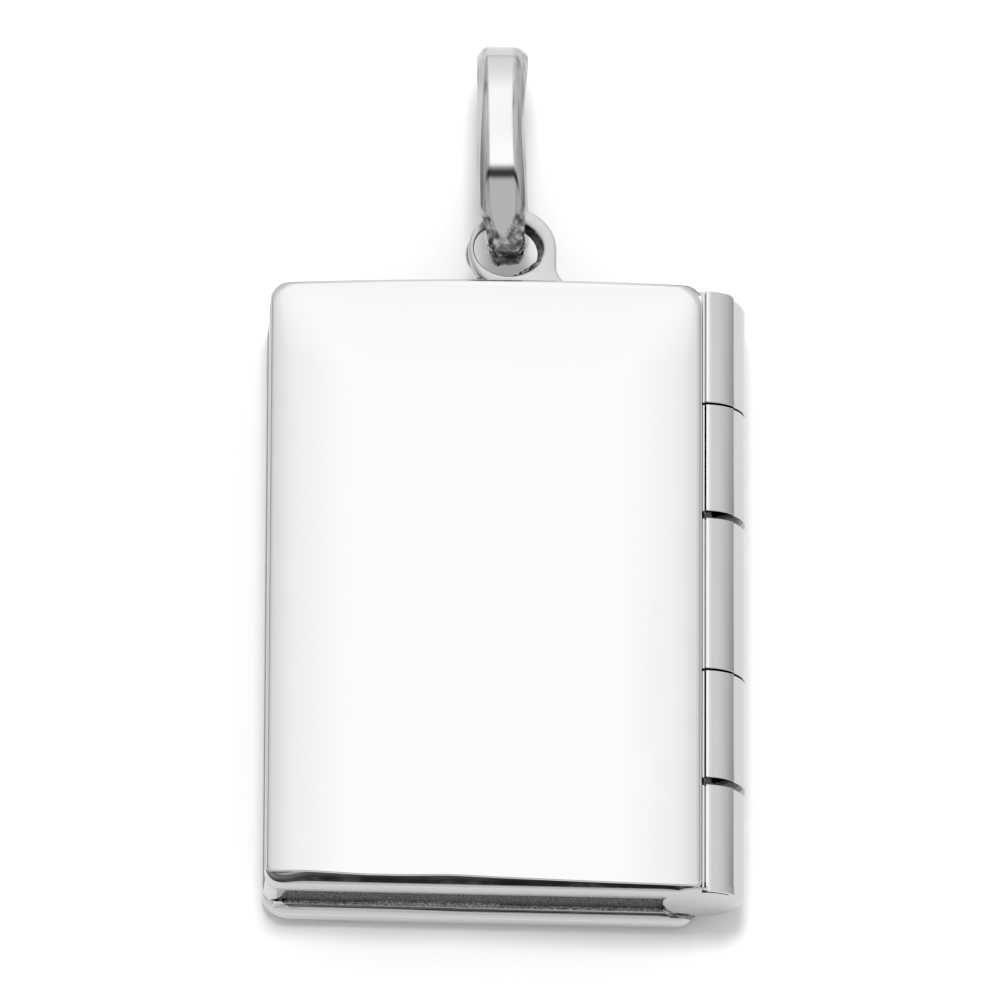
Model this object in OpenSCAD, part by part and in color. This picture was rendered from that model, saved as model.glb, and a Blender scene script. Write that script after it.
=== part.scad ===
// Book locket: two covers on a five-knuckle hinge, a soldered loop and an oval bail.
// It lies closed on its front cover. X runs from the fore-edge to the spine, Y from foot to head.
// The origin is the middle of the front cover's flat outer face. All sizes are in millimetres.

/* [Covers] */
// Width of a cover, from the fore-edge to the spine side
cover_w = 16.07; // [14:0.01:19]
// Length of the back cover's straight sides, from foot to head
cover_l = 23.65; // [21:0.01:27]
// Rise of the head edge at its middle, above its corners
head_arch = 0.2; // [0.05:0.01:0.5]
// How far the front cover stands out past the back one at the foot
foot_ledge = 0.31; // [0:0.01:0.4]
// Height of the closed locket
closed_h = 4.4; // [4.2:0.01:4.8]
// Thickness of the front cover
front_t = 1.06; // [0.9:0.01:1.15]
// Open seam between the two halves
seam_gap = 0.04; // [0.02:0.01:0.1]
// Radius of the covers' corners, seen from the face
corner_r = 0.7; // [0.5:0.05:1.5]
// Rounding of the covers' outer edges
edge_r = 0.22; // [0.1:0.01:0.28]
// Height of the soft pillow over the edge of each outer face
pillow_h = 0.14; // [0.05:0.01:0.16]
// Width of the band in which the pillow rises to its flat middle
pillow_in = 3.2; // [2:0.1:5]

/* [Back half] */
// Thickness of the back board at its edge
board_t = 0.38; // [0.36:0.01:0.42]
// Height of the dark groove below the back board
groove_h = 0.58; // [0.3:0.01:0.6]
// Depth of that groove
groove_d = 0.3; // [0.1:0.01:0.4]
// Height of the polished rim below the groove
rim_h = 0.72; // [0.6:0.01:1.2]
// Height of the lip between the page edges and the seam
lip_h = 0.27; // [0.15:0.01:0.5]
// Depth of the recess that shows the page edges
page_d = 0.18; // [0.1:0.01:0.3]
// Width of the polished posts at the fore-edge corners
post_w = 0.5; // [0.4:0.01:1]
// Wall of the hollow tray
tray_wall = 0.9; // [0.7:0.01:1.2]
// Metal between the tray's floor and the outer face
tray_floor = 0.75; // [0.6:0.01:0.9]
// Metal between the tray and the barrel's clearance, on the spine side
spine_wall = 0.7; // [0.5:0.01:1]
// Width of the thumbnail notch at the fore-edge corner of the foot
notch_w = 0.7; // [0.4:0.01:0.9]
// Depth of the thumbnail notch
notch_d = 0.14; // [0.05:0.01:0.25]

/* [Front half] */
// Height of the closing lip above the front cover
close_h = 0.45; // [0.3:0.01:0.7]
// Thickness of the closing lip
close_t = 0.5; // [0.3:0.01:0.8]
// Gap between the closing lip and the tray's wall
close_gap = 0.15; // [0.1:0.01:0.3]
// Depth of the picture recess inside the front cover
picture_d = 0.4; // [0.2:0.01:0.5]

/* [Hinge] */
// Radius of the knuckles
knuckle_r = 1.54; // [1.4:0.01:1.6]
// Distance of the hinge axis past the spine edge of the covers
axis_out = 0.16; // [0.1:0.01:0.3]
// Height of the hinge axis above the front cover's face
axis_z = 2.25; // [2.22:0.01:2.3]
// Thickness of the raised leaf on each knuckle's shoulder
leaf_t = 0.07; // [0.04:0.01:0.1]
// Angle that the raised leaf covers, from the top of the knuckle outwards
leaf_arc = 41; // [20:1:60]
// Gap between the leaf and whatever turns past it
turn_gap = 0.07; // [0.06:0.01:0.1]
// Wide gap between two knuckles
wide_gap = 0.28; // [0.15:0.01:0.4]
// Thin gap between two knuckles
thin_gap = 0.08; // [0.06:0.01:0.12]
// Radius of the hinge pin
pin_r = 0.42; // [0.3:0.01:0.6]
// Running clearance between the pin and its bore
pin_gap = 0.02; // [0.01:0.005:0.03]
// Metal that closes the pin's bore at the foot
bore_cap = 0.5; // [0.3:0.05:1]

/* [Loop] */
// Place of the loop along the head edge, from the middle of the cover
loop_x = 1.01; // [-2:0.01:2]
// Radius of the loop's hole
loop_hole_r = 1.1; // [1:0.01:1.2]
// Width of the loop's wire, seen from the face
loop_wire = 0.55; // [0.5:0.01:0.7]
// Thickness of the loop, from its back to its front
loop_t = 0.64; // [0.5:0.01:0.7]
// Rounding of the loop's edges
loop_edge_r = 0.2; // [0.1:0.01:0.24]
// Height of the loop's centre above the arched head edge
loop_rise = 1.38; // [1.36:0.01:1.6]
// Depth of the loop's middle plane below the back face
loop_deep = 0.74; // [0.7:0.01:0.9]
// Radius of the flare at the loop's foot, on the spine side
flare_r = 0.55; // [0.3:0.01:0.8]

/* [Bail] */
// Thickness of the bail's band
band_t = 0.6; // [0.5:0.01:0.65]
// Width of the bail's band
band_w = 1.66; // [1.4:0.01:1.8]
// Width of the band where it bends through the loop
foot_w = 1.3; // [1:0.01:1.4]
// Outer radius of the bend that passes through the loop
bail_foot_r = 1.2; // [1.15:0.01:1.3]
// Outer radius of the bail's tip
bail_tip_r = 2.1; // [1.9:0.01:2.2]
// Outer radius of the bail's long bowed sides
bail_side_r = 8; // [7.5:0.1:10]
// Distance from the foot bend's centre to the tip's centre
bail_tip_u = 5.98; // [5.5:0.01:6.2]
// Rounding of the band's corners at its tip, seen from the front
bail_corner_r = 0.4; // [0.2:0.01:0.5]
// Gap between the resting bail and the surface
rest_gap = 0.06; // [0.02:0.01:0.1]
// Slope of the bail as it rests, from the loop down to its tip
bail_slope = 12.4; // [12:0.1:13]
// Turn of the bail about its own length
bail_roll = 5; // [0:0.5:10]
// Turn of the bail towards the fore-edge
bail_lean = 1.3; // [0:0.1:2]
// Place of the foot bend's centre, towards the fore-edge from the loop's centre
bail_side = 0.28; // [0:0.01:0.32]
// Place of the foot bend's centre, towards the head from the loop's centre
bail_back = 0.77; // [0.75:0.01:0.85]

/* [Hidden] */
silver = [0.86, 0.87, 0.88];
$fn = 64;
eps = 0.01;

// Places of the covers' edges
x_fore = -cover_w / 2;
x_spine = cover_w / 2;
y_foot = -cover_l / 2;
y_head = cover_l / 2;
y_arch = y_head + head_arch;

// Heights of the back half's layers, from the seam up to the back board
z_seam = front_t + seam_gap;
z_board = closed_h - board_t;
z_rim_top = z_board - groove_h;
z_rim = z_rim_top - rim_h;
z_page = z_seam + lip_h;

// Hinge
axis_x = x_spine + axis_out;
clear_r = knuckle_r + leaf_t + turn_gap;
bore_r = pin_r + pin_gap;
x_tray_end = axis_x - clear_r - spine_wall;
// Ends of the five knuckles from foot to head, as shares of the covers' length
knuckle_share = [0, 0.181, 0.3675, 0.6275, 0.8145, 1];
// Gap at each of those ends
knuckle_gap = [0, wide_gap, thin_gap, wide_gap, thin_gap, 0];
back_knuckles = [0, 2, 4];
front_knuckles = [1, 3];
past_end = foot_ledge + head_arch + 1;

// Loop
loop_y = y_arch + loop_rise;
loop_z = closed_h - loop_deep;
loop_r = loop_hole_r + loop_wire;

// Bail: the centre of each bowed side's arc, seen from its side
side_u = (pow(bail_tip_u, 2) + pow(bail_side_r - bail_foot_r, 2) - pow(bail_side_r - bail_tip_r, 2))
    / (2 * bail_tip_u);
side_w = sqrt(pow(bail_side_r - bail_foot_r, 2) - side_u * side_u);
// The lower side rests on the surface, so the foot bend's height follows from the slope and roll
bail_down = cos(bail_slope) * cos(bail_roll);
bail_x = loop_x - bail_side;
bail_y = loop_y + bail_back;
bail_z = rest_gap + side_u * sin(bail_slope) - side_w * bail_down
    + bail_side_r * sqrt(pow(sin(bail_slope), 2) + bail_down * bail_down)
    + band_w / 2 * cos(bail_slope) * sin(bail_roll);
widen_u = 2;

// Number of points in a corner, along the head edge and in the rounding of an edge
corner_n = 6;
head_n = 12;
edge_n = 4;
pillow_n = 5;
bend_n = 12;

function knuckle_from(i) = y_foot + cover_l * knuckle_share[i] + knuckle_gap[i] / 2;
function knuckle_to(i) = y_foot + cover_l * knuckle_share[i + 1] - knuckle_gap[i + 1] / 2;

// Ends of the room that a knuckle turns in, up to the two knuckles beside it
function room_from(i) = i == 0 ? y_foot - past_end : knuckle_to(i - 1);
function room_to(i) = i == 4 ? y_head + past_end : knuckle_from(i + 1);

// Lift of the arched head edge at a place across the cover
function head_lift(x) = head_arch * (1 - pow(x / (cover_w / 2), 2));

function corner_points(x, y, r, start) = [
    for (k = [0:corner_n]) let (a = start + 90 * k / corner_n) [x + r * cos(a), y + r * sin(a)]
];

// Outline of a cover, drawn in by inset, counter-clockwise
function cover_outline(inset, ledge) =
    let (
        r = corner_r + inset / 2,
        x0 = x_fore + inset + r,
        x1 = x_spine - inset - r,
        y0 = y_foot - ledge + inset + r,
        y1 = y_head - inset - r,
        head = [for (k = [1:head_n - 1]) [x1 + (x0 - x1) * k / head_n, y1 + r]]
    )
    [
        for (p = concat(
            corner_points(x0, y0, r, 180),
            corner_points(x1, y0, r, 270),
            corner_points(x1, y1, r, 0),
            head,
            corner_points(x0, y1, r, 90)
        ))
        [p.x, p.y > 0 ? p.y + head_lift(p.x) : p.y]
    ];

// Rings of a cover from its flat inner side up to its pillowed face: how far in, and how high
function cover_rings(thick) = concat(
    [[0, 0]],
    [
        for (k = [0:edge_n]) let (a = 75 * k / edge_n)
        [edge_r * (1 - cos(a)), thick - pillow_h - edge_r + edge_r * sin(a)]
    ],
    [
        for (k = [1:pillow_n]) let (t = k / pillow_n, s = edge_r * sin(75) - edge_r)
        [edge_r + t * pillow_in, thick - (pillow_h - s) * (1 - sin(90 * t))]
    ]
);

// A cover's board with its pillowed face up
module pillow_board(thick, ledge) {
    rings = cover_rings(thick);
    n = len(cover_outline(0, ledge));
    last = len(rings) - 1;
    polyhedron(
        points = [for (g = rings) for (p = cover_outline(g[0], ledge)) [p.x, p.y, g[1]]],
        faces = concat(
            [[for (i = [0:n - 1]) i]],
            [
                for (k = [0:last - 1]) for (i = [0:n - 1]) let (j = (i + 1) % n)
                [k * n + i, (k + 1) * n + i, (k + 1) * n + j, k * n + j]
            ],
            [[for (i = [n - 1:-1:0]) last * n + i]]
        )
    );
}

// A straight slab with a cover's outline, between two heights
module slab(z0, z1, inset = 0) {
    translate([0, 0, z0]) linear_extrude(z1 - z0) polygon(cover_outline(inset, 0));
}

module along_hinge(y0, y1) {
    translate([axis_x, y1, axis_z]) rotate([90, 0, 0]) linear_extrude(y1 - y0) children();
}

// One knuckle with the raised leaf on its shoulder
module knuckle(i) {
    along_hinge(knuckle_from(i), knuckle_to(i)) {
        circle(r = knuckle_r);
        intersection() {
            circle(r = knuckle_r + leaf_t);
            polygon([
                [0, 0],
                [0, 2 * knuckle_r],
                [2 * knuckle_r * sin(leaf_arc), 2 * knuckle_r],
                [2 * knuckle_r * sin(leaf_arc), 2 * knuckle_r * cos(leaf_arc)]
            ]);
        }
    }
}

module turning_room(i) {
    along_hinge(room_from(i), room_to(i)) circle(r = clear_r);
}

module pin_bore() {
    along_hinge(y_foot + bore_cap, y_head + past_end) circle(r = bore_r);
}

// Recess behind which the page edges show, on the foot, fore and head sides
module page_recess() {
    h = z_rim - z_page;
    long_w = axis_x - x_fore - post_w;
    translate([x_fore + post_w, y_foot - eps, z_page]) cube([long_w, page_d + eps, h]);
    translate([x_fore - eps, y_foot + post_w, z_page]) cube([page_d + eps, cover_l - 2 * post_w, h]);
    difference() {
        translate([x_fore + post_w, y_head - page_d, z_page])
            cube([long_w, page_d + head_arch + eps, h]);
        translate([0, -page_d, 0]) slab(z_page - eps, z_rim + eps);
    }
}

module thumb_notch() {
    translate([x_fore + post_w / 2 + corner_r / 2, y_foot + notch_d, z_seam])
        rotate([90, 0, 0]) cylinder(r = notch_w / 2, h = 2 * notch_d);
}

module tray_hollow(z0, z1, inset) {
    x0 = x_fore + tray_wall + inset;
    y0 = y_foot + tray_wall + inset;
    translate([x0, y0, z0]) cube([x_tray_end - inset - x0, -2 * y0, z1 - z0]);
}

module loop() {
    translate([loop_x, loop_y, loop_z]) {
        rotate_extrude() translate([loop_hole_r, -loop_t / 2]) rounded_square(loop_wire, loop_t, loop_edge_r);
        translate([0, 0, -loop_t / 2]) linear_extrude(loop_t) loop_foot();
    }
}

module rounded_square(w, h, r) {
    translate([r, 0]) square([w - 2 * r, h]);
    translate([0, r]) square([w, h - 2 * r]);
    for (x = [r, w - r], y = [r, h - r]) translate([x, y]) circle(r = r);
}

// Solid foot of the loop: it runs into the head edge, and flares on the spine side
module loop_foot() {
    sunk = 0.7;
    difference() {
        union() {
            translate([-loop_hole_r, -loop_rise - sunk]) square([2 * loop_hole_r, sunk + loop_rise - 0.5]);
            translate([0, -loop_rise - sunk]) square([loop_r + flare_r, sunk + flare_r]);
            translate([0, -loop_rise]) square([loop_r - loop_edge_r / 2, loop_rise]);
        }
        circle(r = loop_hole_r + loop_edge_r / 2);
        translate([loop_r + flare_r, -loop_rise + flare_r]) circle(r = flare_r);
    }
}

module front_cover() {
    color(silver) difference() {
        union() {
            difference() {
                translate([0, 0, front_t]) mirror([0, 0, 1]) pillow_board(front_t, foot_ledge);
                for (i = back_knuckles) turning_room(i);
            }
            for (i = front_knuckles) knuckle(i);
            closing_lip();
        }
        tray_hollow(front_t - picture_d, front_t + close_h + eps, close_gap + close_t);
        pin_bore();
    }
}

// Raised lip on three sides; the spine side stays free, so that the tray can swing away
module closing_lip() {
    difference() {
        tray_hollow(front_t - picture_d, front_t + close_h, close_gap);
        translate([x_tray_end - close_gap - close_t, y_foot, front_t])
            cube([2 * close_t, cover_l, 2 * close_h]);
    }
}

module back_cover() {
    color(silver) difference() {
        union() {
            difference() {
                back_body();
                for (i = front_knuckles) turning_room(i);
            }
            for (i = back_knuckles) knuckle(i);
            loop();
        }
        pin_bore();
    }
}

module back_body() {
    difference() {
        union() {
            translate([0, 0, z_board]) pillow_board(board_t, 0);
            slab(z_rim_top - eps, z_board + eps, groove_d);
            slab(z_seam, z_rim_top);
            translate([x_tray_end, y_foot + corner_r, z_rim_top - eps])
                cube([x_spine - x_tray_end, cover_l - 2 * corner_r, groove_h + 2 * eps]);
        }
        tray_hollow(z_seam - eps, closed_h - tray_floor, 0);
        page_recess();
        thumb_notch();
    }
}

module hinge_pin() {
    color(silver) along_hinge(y_foot + bore_cap + pin_gap, y_head) circle(r = pin_r);
}

// Outline of the bail seen from its side: a foot arc, a long side arc and a tip arc that meet
// smoothly, drawn in by inset
function bail_outline(inset) =
    let (
        a_foot = 180 - atan2(side_w, side_u),
        a_tip = atan2(side_w, bail_tip_u - side_u),
        upper = concat(
            arc_points([bail_tip_u, 0], bail_tip_r - inset, 0, a_tip),
            arc_points([side_u, -side_w], bail_side_r - inset, a_tip, a_foot),
            arc_points([0, 0], bail_foot_r - inset, a_foot, 180)
        )
    )
    concat(upper, [for (i = [len(upper) - 2:-1:1]) [upper[i].x, -upper[i].y]]);

// Points of an arc without its first one, where the arc before it ends, unless it starts the outline
function arc_points(centre, r, from, to) = [
    for (k = [from == 0 ? 0 : 1:bend_n])
    let (a = from + (to - from) * k / bend_n)
    [centre.x + r * cos(a), centre.y + r * sin(a)]
];

// Outline of the bail seen from its front: a round foot that widens to the band's full width
function band_outline() =
    let (
        foot = foot_w / 2,
        half = band_w / 2,
        u_foot = foot - bail_foot_r,
        u_tip = bail_tip_u + bail_tip_r,
        side = concat(
            [for (k = [0:bend_n]) let (a = 180 - 90 * k / bend_n) [u_foot + foot * cos(a), foot * sin(a)]],
            [for (k = [0:bend_n]) let (a = 90 - 90 * k / bend_n)
                [u_tip - bail_corner_r * (1 - cos(a)), half - bail_corner_r * (1 - sin(a))]]
        ),
        widened = concat([for (i = [0:bend_n]) side[i]], [[widen_u, half]],
            [for (i = [bend_n + 1:2 * bend_n + 1]) side[i]])
    )
    concat(widened, [for (i = [len(widened) - 1:-1:1]) [widened[i].x, -widened[i].y]]);

module bail() {
    color(silver)
    translate([bail_x, bail_y, bail_z])
    rotate([0, 0, bail_lean]) rotate([-bail_slope, 0, 0]) rotate([0, -bail_roll, 0])
    intersection() {
        translate([-band_w, 0, 0]) rotate([90, 0, 90]) linear_extrude(2 * band_w) difference() {
            polygon(bail_outline(0));
            polygon(bail_outline(band_t));
        }
        translate([0, 0, -bail_side_r]) linear_extrude(2 * bail_side_r)
            rotate(90) polygon(band_outline());
    }
}

front_cover();
back_cover();
hinge_pin();
bail();
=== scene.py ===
"""Book locket, lying closed on its front cover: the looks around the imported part."""
import math

import bmesh
import bpy
from mathutils import Matrix, Vector, noise


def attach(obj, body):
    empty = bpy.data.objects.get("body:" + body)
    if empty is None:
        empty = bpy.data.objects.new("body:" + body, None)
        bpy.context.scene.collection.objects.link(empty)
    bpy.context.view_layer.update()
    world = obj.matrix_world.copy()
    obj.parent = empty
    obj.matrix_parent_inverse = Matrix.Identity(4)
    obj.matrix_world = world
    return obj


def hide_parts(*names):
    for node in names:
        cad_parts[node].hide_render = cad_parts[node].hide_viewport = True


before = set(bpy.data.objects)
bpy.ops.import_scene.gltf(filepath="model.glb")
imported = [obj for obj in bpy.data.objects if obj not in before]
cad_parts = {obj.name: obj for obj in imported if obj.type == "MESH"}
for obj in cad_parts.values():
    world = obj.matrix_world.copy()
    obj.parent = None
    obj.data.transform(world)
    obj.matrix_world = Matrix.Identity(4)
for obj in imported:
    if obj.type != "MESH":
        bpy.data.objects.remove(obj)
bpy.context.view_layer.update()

# Sizes are in millimetres and angles in degrees; a mesh is scaled to metres when it is made
MM = 0.001

# Covers
COVER_W = 16.07
COVER_L = 23.65
X_FORE = -COVER_W / 2
X_SPINE = COVER_W / 2
Y_FOOT = -COVER_L / 2
Y_HEAD = COVER_L / 2
HEAD_ARCH = 0.2
HEAD_OUT = 0.065
HEAD_SKEW = 0.0165
FOOT_LEDGE = 0.31
CORNER_R = 0.7
FRONT_CORNER_R = 0.95
CLOSED_H = 4.4
FRONT_T = 1.06
SEAM_GAP = 0.04

# Back half, from the seam up to the back board
BOARD_T = 0.38
GROOVE_H = 0.58
GROOVE_D = 0.3
RIM_H = 0.72
LIP_H = 0.27
PAGE_D = 0.18
POST_W = 0.5
NOTCH_X = X_FORE + 0.6
NOTCH_Z = FRONT_T - 0.1
NOTCH_W = 0.36
NOTCH_H = 0.84
NUB_W = 0.25
NUB_H = 0.56
TRAY_WALL = 0.9
TRAY_FLOOR = 0.75
SPINE_WALL = 0.7
Z_SEAM = FRONT_T + SEAM_GAP
Z_BOARD = CLOSED_H - BOARD_T
Z_RIM_TOP = Z_BOARD - GROOVE_H
Z_RIM = Z_RIM_TOP - RIM_H
Z_PAGE = Z_SEAM + LIP_H

# Hinge
KNUCKLE_R = 1.54
LEAF_T = 0.07
LEAF_ARC = 41
CLEAR_R = KNUCKLE_R + LEAF_T + 0.07
AXIS_X = X_SPINE + 0.16
AXIS_Z = 2.25
BORE_R = 0.44
BORE_CAP = 0.5
KNUCKLE_SHARE = (0, 0.181, 0.3675, 0.6275, 0.8145, 1)
KNUCKLE_GAP = (0, 0.28, 0.08, 0.28, 0.08, 0)
HEAD_KNUCKLE_OUT = 0.13
X_BLOCK_END = AXIS_X - CLEAR_R
X_TRAY_END = X_BLOCK_END - SPINE_WALL

# Loop
LOOP_X = 1.01
LOOP_Y = Y_HEAD + HEAD_ARCH + 1.38
LOOP_Z = CLOSED_H - 0.74
LOOP_T = 0.64
LOOP_SHEAR = 0.32

# Bail
BAIL_FOOT_R = 1.2
BAIL_TIP_R = 2.1
BAIL_SIDE_R = 8.0
BAIL_TIP_U = 5.98
BAND_T = 0.6
BAND_W = 1.66
FOOT_W = 1.3
BAIL_SLOPE = 12.4
BAIL_ROLL = 5.0
BAIL_LEAN = 1.3
BAIL_CLEARANCE = 0.06
BAIL_X = LOOP_X - 0.28
BAIL_Y = LOOP_Y + 0.77


def rad(degrees):
    return math.radians(degrees)


def mix(a, b, t):
    return a + (b - a) * t


def smooth(low, high, value):
    """0 below low, 1 above high, with a soft start and end."""
    t = min(1, max(0, (value - low) / (high - low)))
    return t * t * (3 - 2 * t)


# Meshes
def new_piece(name, points, faces, sharp=35):
    """A mesh object from points in millimetres, shaded smooth apart from edges over the sharp angle."""
    mesh = bpy.data.meshes.new(name)
    mesh.from_pydata([Vector(p) * MM for p in points], [], faces)
    mesh.validate()
    work = bmesh.new()
    work.from_mesh(mesh)
    bmesh.ops.recalc_face_normals(work, faces=work.faces)
    work.to_mesh(mesh)
    work.free()
    piece = bpy.data.objects.new(name, mesh)
    bpy.context.scene.collection.objects.link(piece)
    shade(piece, sharp)
    return piece


def shade(piece, sharp=35):
    piece.data.shade_smooth()
    piece.data.set_sharp_from_angle(angle=rad(sharp))


def lofted(name, rings, sharp=35, capped=True, around=False):
    """A skin over rings of equally many points; around joins the last ring to the first one."""
    count = len(rings[0])
    points = [p for ring in rings for p in ring]
    faces = []
    spans = len(rings) if around else len(rings) - 1
    for k in range(spans):
        a = k * count
        b = (k + 1) % len(rings) * count
        for i in range(count):
            j = (i + 1) % count
            faces.append((a + i, a + j, b + j, b + i))
    if capped and not around:
        faces.append(tuple(range(count - 1, -1, -1)))
        faces.append(tuple(range((len(rings) - 1) * count, len(rings) * count)))
    return new_piece(name, points, faces, sharp)


def bevelled(piece, width, segments=2, angle=40):
    bevel = piece.modifiers.new("small edge rounding", "BEVEL")
    bevel.width = width * MM
    bevel.segments = segments
    bevel.limit_method = "ANGLE"
    bevel.angle_limit = rad(angle)
    bevel.use_clamp_overlap = True


def settle(piece):
    """Turns a piece with modifiers into its final plain mesh."""
    depsgraph = bpy.context.evaluated_depsgraph_get()
    mesh = bpy.data.meshes.new_from_object(piece.evaluated_get(depsgraph))
    piece.modifiers.clear()
    piece.data = mesh
    return piece


def cut(piece, tools, operation="DIFFERENCE"):
    for tool in tools:
        step = piece.modifiers.new("cut", "BOOLEAN")
        step.operation = operation
        step.solver = "EXACT"
        step.object = tool
        settle(piece)
        bpy.data.objects.remove(tool)
    return piece


def dressed(piece, body, material, *nodes):
    piece.data.materials.clear()
    piece.data.materials.append(material)
    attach(piece, body)
    if nodes:
        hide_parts(*nodes)
    return piece


# Cover outline
CORNER_N = 10
SIDE_N = 44


def outline_stations():
    """Places round a cover, counter-clockwise from the fore-edge corner at the foot."""
    stations = []
    for corner, start in enumerate((180, 270, 0, 90)):
        for k in range(CORNER_N + 1):
            stations.append(("corner", corner, start + 90 * k / CORNER_N))
        for k in range(1, SIDE_N):
            even = k / SIDE_N
            stations.append(("side", corner, mix(even, 0.5 - 0.5 * math.cos(math.pi * even), 0.7)))
    return stations


STATIONS = outline_stations()
SIDE_NORMALS = ((0, -1), (1, 0), (0, 1), (-1, 0))


def station_normal(station):
    kind, index, value = station
    if kind == "side":
        return SIDE_NORMALS[index]
    return (math.cos(rad(value)), math.sin(rad(value)))


def head_rise(x):
    """How far the head edge stands out above the straight outline; it is arched and a little askew."""
    return HEAD_ARCH * (1 - (x / (COVER_W / 2)) ** 2) + HEAD_OUT + HEAD_SKEW * x


def station_point(station, inset, ledge=0.0, x_end=X_SPINE, corner_r=CORNER_R, spine_r=CORNER_R,
                  foot_less=0.0):
    """A point of the outline, drawn in by inset; the corners at the foot may be sharper by foot_less."""
    fore = corner_r + inset / 2
    spine = spine_r + inset / 2
    foot_fore = fore - foot_less
    foot_spine = spine - foot_less
    x_low = X_FORE + inset
    x_high = x_end - inset
    y_low = Y_FOOT - ledge + inset
    y_high = Y_HEAD - inset
    corners = ((x_low + foot_fore, y_low + foot_fore, foot_fore),
               (x_high - foot_spine, y_low + foot_spine, foot_spine),
               (x_high - spine, y_high - spine, spine), (x_low + fore, y_high - fore, fore))
    kind, index, value = station
    centre_x, centre_y, radius = corners[index]
    if kind == "corner":
        x = centre_x + radius * math.cos(rad(value))
        y = centre_y + radius * math.sin(rad(value))
    else:
        next_x, next_y, next_radius = corners[(index + 1) % 4]
        normal_x, normal_y = SIDE_NORMALS[index]
        x = mix(centre_x + radius * normal_x, next_x + next_radius * normal_x, value)
        y = mix(centre_y + radius * normal_y, next_y + next_radius * normal_y, value)
    if y > 0:
        y += head_rise(x)
    return x, y


def ring(inset, z, **shape):
    """inset and z are numbers, or functions of a station."""
    points = []
    for station in STATIONS:
        drawn = inset(station) if callable(inset) else inset
        height = z(station) if callable(z) else z
        points.append((*station_point(station, drawn, **shape), height))
    return points


# Boards
PILLOW_IN = 4.4


def pillow_drop(inset):
    """How far a pillowed face lies below its flat middle: a long gentle rise and a short steep one."""
    gentle_slope = math.tan(rad(3.15))
    steep_slope = math.tan(rad(5))
    steep = 0.25
    share = min(1, max(0, inset) / PILLOW_IN)
    gentle_fall = gentle_slope * PILLOW_IN * (2 / 3 - share + share ** 3 / 3)
    return gentle_fall + steep_slope * steep * math.exp(-max(0, inset) / steep)


def pillow_fall(x, y, flat_foot):
    """How far the face lies below its flat middle at a place; the falls of two sides meet softly."""
    to_end = Y_HEAD - y if flat_foot else min(Y_HEAD - y, y - Y_FOOT)
    return math.hypot(pillow_drop(min(x - X_FORE, X_SPINE - x)), pillow_drop(to_end))


def foot_share(station):
    """1 where the outline faces the foot, 0 where it faces away."""
    return smooth(0.2, 1, -station_normal(station)[1])


def board_rings(thick, edge_r, foot_r, inner_r, flat_foot, undercut=0.0, **shape):
    """Rings of a board from its inner side, at height 0, to its pillowed face."""
    def radius(station):
        away_from_fore = mix(1, 0.65, max(0, -station_normal(station)[0]))
        return mix(edge_r * away_from_fore, foot_r, foot_share(station))

    def faced(drawn, below):
        points = []
        for station in STATIONS:
            x, y = station_point(station, drawn(station), **shape)
            points.append((x, y, thick - pillow_fall(x, y, flat_foot) - below(station)))
        return points

    rings = []
    for k in range(7):
        turn = rad(90 * k / 6)
        rings.append(ring(
            lambda s, turn=turn: undercut * foot_share(s) + inner_r(s) * (1 - math.sin(turn)),
            lambda s, turn=turn: 1.5 * inner_r(s) * (1 - math.cos(turn)),
            **shape))
    edge_n = 10
    for k in range(edge_n + 1):
        turn = rad(84 * k / edge_n)
        rings.append(faced(
            lambda s, turn=turn: radius(s) * (1 - math.cos(turn)),
            lambda s, turn=turn: radius(s) * (1 - math.sin(turn))))
    pillow_n = 26
    for k in range(1, pillow_n + 1):
        share = (k / pillow_n) ** 1.7
        rings.append(faced(lambda s, share=share: mix(radius(s), PILLOW_IN, share), lambda s: 0))
    return rings


def uneven_foot(x, y):
    """The groove was filed a little further into the board's foot edge towards the fore-edge corner."""
    hump = 0.05 * math.exp(-((x + 1.3) / 1.2) ** 2)
    filed = 0.2 - 0.12 * smooth(-7, -4, x) + hump - 0.1 * smooth(-0.5, 5.5, x)
    return y + filed * (1 - smooth(0, 3, y - Y_FOOT))


def back_board(silver):
    rings = board_rings(BOARD_T, 0.2, 0.04, lambda s: 0.03, True, undercut=GROOVE_D, foot_less=0.5)
    placed = [[(x, uneven_foot(x, y), z + Z_BOARD) for x, y, z in points] for points in rings]
    board = lofted("back_board", placed)
    dressed(board, "back", silver, "back_cover")
    fillet = block_box("spine_fillet", (X_TRAY_END, Y_FOOT + 0.35, Z_RIM_TOP - 0.2),
                       (X_SPINE - 0.04, Y_HEAD - 0.2, Z_BOARD + 0.1))
    cut(fillet, [turning_room(1), turning_room(3)])
    shade(fillet)
    dressed(fillet, "back", silver)


def front_board(silver):
    def inner_rounding(station):
        x, _ = station_point(station, 0)
        return mix(0.12, 0.27 + 0.1 * (1 - smooth(-6, 0, x)), foot_share(station))

    rings = board_rings(FRONT_T, 0.36, 0.36, inner_rounding, False,
                        ledge=FOOT_LEDGE, corner_r=FRONT_CORNER_R)
    placed = [[(x, y, FRONT_T - z) for x, y, z in points] for points in rings]
    board = lofted("front_board", placed)
    rooms = [turning_room(i) for i in (0, 2, 4)]
    recess = tray_box("picture_recess", FRONT_T - 0.4, FRONT_T + 1, 0.65)
    cut(board, rooms + [recess])
    shade(board)
    dressed(board, "front", silver, "front_cover")
    dressed(closing_lip(), "front", silver)
    dressed(thumb_nub(), "front", silver)


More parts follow.
